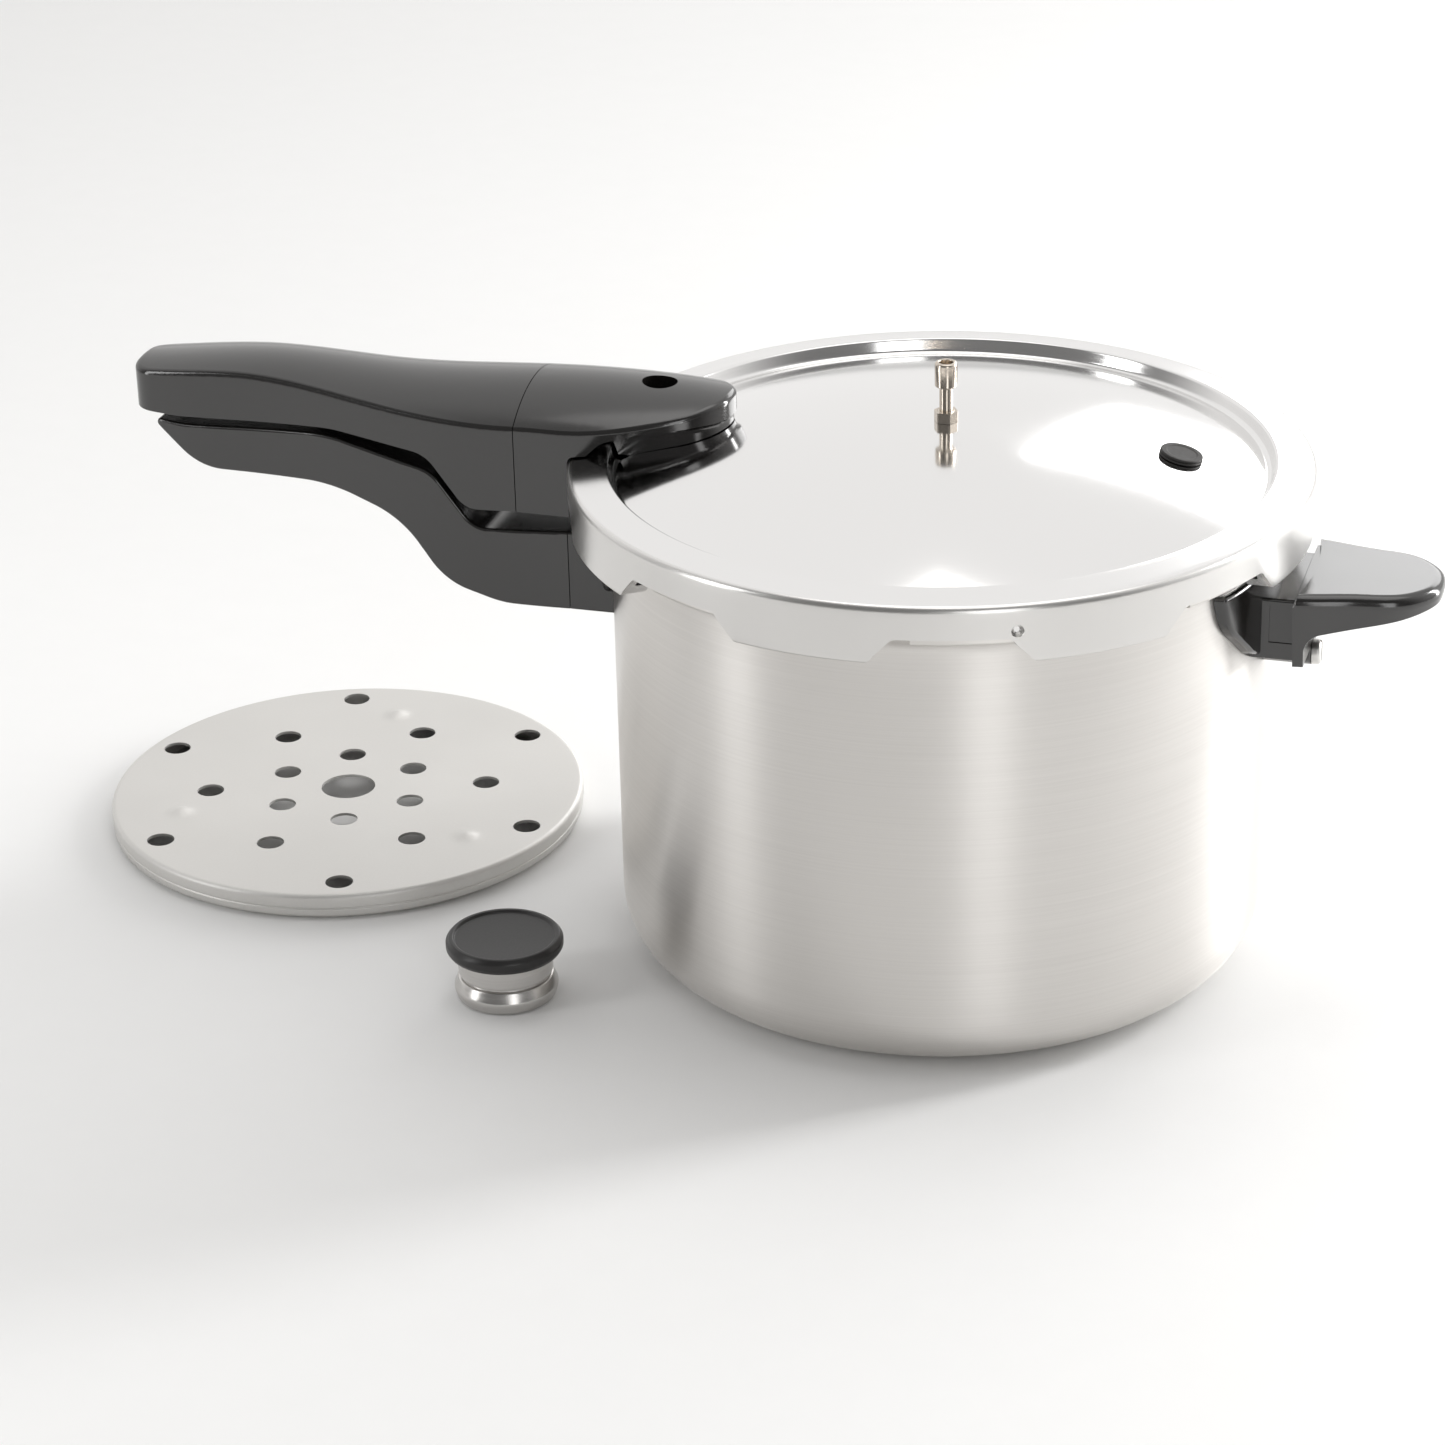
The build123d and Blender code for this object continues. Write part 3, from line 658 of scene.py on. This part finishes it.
# %% [markdown]
# Polished lid: the dome is buffed almost to a mirror, the rim is a little duller and the skirt keeps
# the lines of its turning. One material does all three, because it asks how far each point is from the
# axis.

# %% Polished aluminium
buffing = {"Anisotropic": 0.4, "Anisotropic_Rotation": UPRIGHT}
polish = Finish("polished_aluminium", (0.86, 0.855, 0.85), 0.1, 1.0, **buffing)
out = polish.radius()
turning = polish.lathe_marks(out, 900.0)
edge = polish.step(out, 0.1045, 0.1085)
skirt = polish.step(out, 0.1195, 0.1212)
haze = polish.noise(polish.place, 22.0, 2.0)
polish.set("Roughness", 0.075 + edge * 0.05 + skirt * 0.13 + haze * 0.03 + turning * 0.03)
polish.set("Base Color", polish.mix(skirt, (0.80, 0.795, 0.79), (0.68, 0.67, 0.655)))
polish.bump(turning, 0.15, 0.000006)

# %% [markdown]
# Black moulding: a hard glossy plastic. It is almost black, and what shows is the soft reflection in
# its skin, which isn't quite flat: a faint orange-peel bump and a slowly changing roughness keep it
# from looking like glass.

# %% Black moulding
moulding = Finish("black_moulding", (0.010, 0.009, 0.0085), 0.24, 0.0, Specular_IOR_Level=1.0)
peel = moulding.noise(moulding.place, 420.0, 2.0)
cloudy = moulding.noise(moulding.place, 30.0, 3.0)
moulding.set("Roughness", 0.13 + cloudy * 0.07)
moulding.set("Base Color", moulding.mix(cloudy, (0.006, 0.0055, 0.005), (0.011, 0.0098, 0.009)))
moulding.bump(peel, 0.1, 0.000012)

# %% Metals of the small parts
screws = Finish("plated_screw_steel", (0.68, 0.67, 0.65), 0.32, 1.0)
grain = screws.noise(screws.place, 900.0, 3.0)
screws.set("Roughness", 0.26 + grain * 0.2)
screws.bump(grain, 0.3, 0.00004)

brackets = Finish("pressed_bracket_steel", (0.55, 0.54, 0.53), 0.4, 1.0)
scale = brackets.noise(brackets.place, 500.0, 4.0)
brackets.set("Roughness", 0.35 + scale * 0.2)
brackets.bump(scale, 0.3, 0.00005)

nickel = Finish("nickel_plate", (0.60, 0.54, 0.47), 0.16, 1.0)
tool_lines = nickel.lathe_marks(nickel.radius((VENT_X, 0.0)), 2600.0, 60.0)
nickel.set("Roughness", 0.12 + tool_lines * 0.14)
nickel.bump(tool_lines, 0.3, 0.00002)

pin_metal = Finish("air_vent_metal", (0.70, 0.68, 0.66), 0.25, 1.0)
pin_grain = pin_metal.noise(pin_metal.place, 700.0, 3.0)
pin_metal.set("Roughness", 0.2 + pin_grain * 0.15)

# %% Regulator metal and rack sheet
lathe = Finish("turned_regulator_metal", (0.72, 0.70, 0.68), 0.2, 1.0, Anisotropic=0.5)
cuts = lathe.lathe_marks(lathe.radius(REGULATOR), 1500.0, 40.0)
lathe.set("Roughness", 0.16 + cuts * 0.16)
lathe.set("Base Color", lathe.mix(cuts, (0.50, 0.485, 0.47), (0.70, 0.685, 0.665)))
lathe.bump(cuts, 0.4, 0.00003)

sheet = Finish("matt_rack_aluminium", (0.74, 0.735, 0.715), 0.5, 1.0)
etch = sheet.noise(sheet.place, 1100.0, 3.0)
patches = sheet.noise(sheet.place, 18.0, 3.0)
sheet.set("Roughness", 0.42 + etch * 0.14 + patches * 0.06)
sheet.set("Base Color", sheet.mix(patches, (0.62, 0.61, 0.59), (0.70, 0.69, 0.67)))
sheet.bump(etch, 0.3, 0.00003)

# %% [markdown]
# Rubbers and the cap: rubber scatters light, so it is rough and has no clear reflection. The cap is a satin
# plastic between the rubber and the handles.

# %% Rubbers and cap
cap_plastic = Finish("satin_black_cap", (0.014, 0.013, 0.013), 0.36)
cap_skin = cap_plastic.noise(cap_plastic.place, 1400.0, 2.0)
cap_plastic.set("Roughness", 0.3 + cap_skin * 0.14)
cap_plastic.bump(cap_skin, 0.3, 0.00003)

plug_rubber = Finish("dull_black_rubber", (0.02, 0.019, 0.018), 0.62)
plug_skin = plug_rubber.noise(plug_rubber.place, 900.0, 3.0)
plug_rubber.set("Roughness", 0.5 + plug_skin * 0.2)
plug_rubber.set("Base Color", plug_rubber.mix(plug_skin, (0.014, 0.013, 0.012), (0.03, 0.028, 0.026)))
plug_rubber.bump(plug_skin, 0.4, 0.00005)

ring_rubber = Finish("ring_rubber", (0.03, 0.03, 0.03), 0.55)
ring_skin = ring_rubber.noise(ring_rubber.place, 600.0, 3.0)
ring_rubber.set("Roughness", 0.45 + ring_skin * 0.2)
ring_rubber.bump(ring_skin, 0.3, 0.00005)

# %% [markdown]
# ## Putting pieces and finishes together
# Each new piece says which CAD part it stands for, which body carries it and which finish the record names.
# The CAD parts that stay get their finish in place.

# %% New pieces
NEW_PIECES = [
    (lid, "lid_cover", "lid", "lid_aluminium", polish),
    (pot, "pot_body", "pot", "pot_aluminium", wall),
    (vent_pipe, "vent_pipe", "lid", "vent_metal", nickel),
    (weight, "regulator_weight", "regulator", "regulator_metal", lathe),
    (cap, "regulator_cap", "regulator", "cap_plastic", cap_plastic),
    (rack, "cooking_rack", "rack", "rack_aluminium", sheet),
]
for piece, node_name, body, slot, finish in NEW_PIECES:
    piece.data.materials.clear()
    piece.data.materials.append(finish.material)
    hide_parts(node_name)
    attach(piece, body)
print("new pieces:", [entry[0].name for entry in NEW_PIECES])

# %% CAD parts that stay
STAYING = {
    "body_handle_bracket": brackets,
    "body_handle_bolster": moulding,
    "body_handle_grip": moulding,
    "body_handle_screw": screws,
    "helper_handle_bracket": brackets,
    "helper_handle_bolster": moulding,
    "helper_handle_grip": moulding,
    "helper_handle_screw": screws,
    "sealing_ring": ring_rubber,
    "vent_pipe_nut": nickel,
    "vent_pipe_lock_nut": nickel,
    "overpressure_plug": plug_rubber,
    "lid_handle_nose": moulding,
    "lid_handle_grip": moulding,
    "lid_grip_screw": screws,
    "lid_handle_screws": screws,
    "lid_handle_washers": screws,
    "air_vent_plunger": pin_metal,
    "air_vent_gasket": plug_rubber,
    "air_vent_cup": pin_metal,
}
for node_name, finish in STAYING.items():
    mesh = nodes[node_name].data
    for index in range(max(1, len(mesh.materials))):
        if mesh.materials:
            mesh.materials[index] = finish.material
        else:
            mesh.materials.append(finish.material)
print("CAD parts with a finish:", len(STAYING))

# %% [markdown]
# ## Stage, light and camera
# A plain pale floor runs past the picture's edges. The light is soft: a wide panel behind and above,
# whose reflection makes the black handles' tops pale and the lid white, a panel overhead, and three
# tall ones to the sides that draw upright bands on the wall. The room is bright behind the cooker and
# dimmer on the camera's side, which is what gives the metal its darker tones.

# %% Floor
put_down()
bpy.ops.mesh.primitive_circle_add(vertices=96, radius=14.0, fill_type="NGON", location=(0, 0, 0))
floor = bpy.context.object
floor.name = "floor"
bpy.ops.object.transform_apply(location=True, rotation=True, scale=True)
floor_finish = Finish("pale_floor", (0.86, 0.86, 0.855), 0.9, Specular_IOR_Level=0.2)
floor_grain = floor_finish.noise(floor_finish.place, 60.0, 2.0)
floor_finish.set("Base Color", floor_finish.mix(floor_grain, (0.855, 0.855, 0.85), (0.87, 0.87, 0.865)))
floor.data.materials.append(floor_finish.material)

# %% Room light
world = bpy.data.worlds.new("studio")
bpy.context.scene.world = world
world.use_nodes = True
room = world.node_tree
background = room.nodes["Background"]
background.inputs["Color"].default_value = (1.0, 0.99, 0.98, 1.0)
facing = room.nodes.new("ShaderNodeTexCoord")
parts = room.nodes.new("ShaderNodeSeparateXYZ")
spread = room.nodes.new("ShaderNodeMapRange")
spread.interpolation_type = "SMOOTHSTEP"
spread.inputs["From Min"].default_value = -0.5
spread.inputs["From Max"].default_value = 0.3
spread.inputs["To Min"].default_value = 0.20
spread.inputs["To Max"].default_value = 1.0
room.links.new(facing.outputs["Generated"], parts.inputs[0])
room.links.new(parts.outputs["Y"], spread.inputs["Value"])
room.links.new(spread.outputs[0], background.inputs["Strength"])

# %% Light panels


def panel(name, place, aim, size, power, colour=(1.0, 1.0, 1.0)):
    """A soft rectangular light that faces a point."""
    light = bpy.data.lights.new(name, "AREA")
    light.shape = "RECTANGLE"
    light.size, light.size_y = size
    light.energy = power
    light.color = colour
    lamp = bpy.data.objects.new(name, light)
    bpy.context.scene.collection.objects.link(lamp)
    towards = Vector(aim) - Vector(place)
    turn = towards.to_track_quat("-Z", "Y").to_matrix().to_4x4()
    lamp.matrix_world = Matrix.Translation(place) @ turn
    return lamp


panel("back_panel", (0.42, 2.1, 1.0), (0.0, 0.0, 0.15), (1.3, 0.9), 10.0)
panel("top_panel", (0.1, 0.2, 1.9), (0.0, 0.0, 0.0), (1.4, 1.2), 5.0, (1.0, 0.985, 0.97))
panel("right_back_panel", (1.06, 0.70, 0.50), (0.0, 0.0, 0.05), (0.24, 1.0), 16.0)
panel("right_front_panel", (0.72, -1.32, 0.55), (0.0, 0.0, 0.05), (0.42, 1.1), 3.5)
panel("left_front_panel", (-1.25, -0.85, 0.60), (0.0, 0.0, 0.05), (0.35, 1.1), 5.0)

# %% Camera
camera_data = bpy.data.cameras.new("camera")
camera = bpy.data.objects.new("camera", camera_data)
bpy.context.scene.collection.objects.link(camera)
camera_data.sensor_width = 36.0
camera_data.lens = 102.69
TURN, DOWN, ROLL = [math.radians(degrees) for degrees in (16.85, 25.40, -1.40)]
camera.matrix_world = (
    Matrix.Translation((0.2918, -1.2155, 0.6707))
    @ Matrix.Rotation(TURN, 4, "Z")
    @ Matrix.Rotation(math.pi / 2 - DOWN, 4, "X")
    @ Matrix.Rotation(ROLL, 4, "Z")
)
bpy.context.scene.camera = camera
bpy.context.scene.view_settings.view_transform = "Standard"

# %% Nothing left selected
put_down()
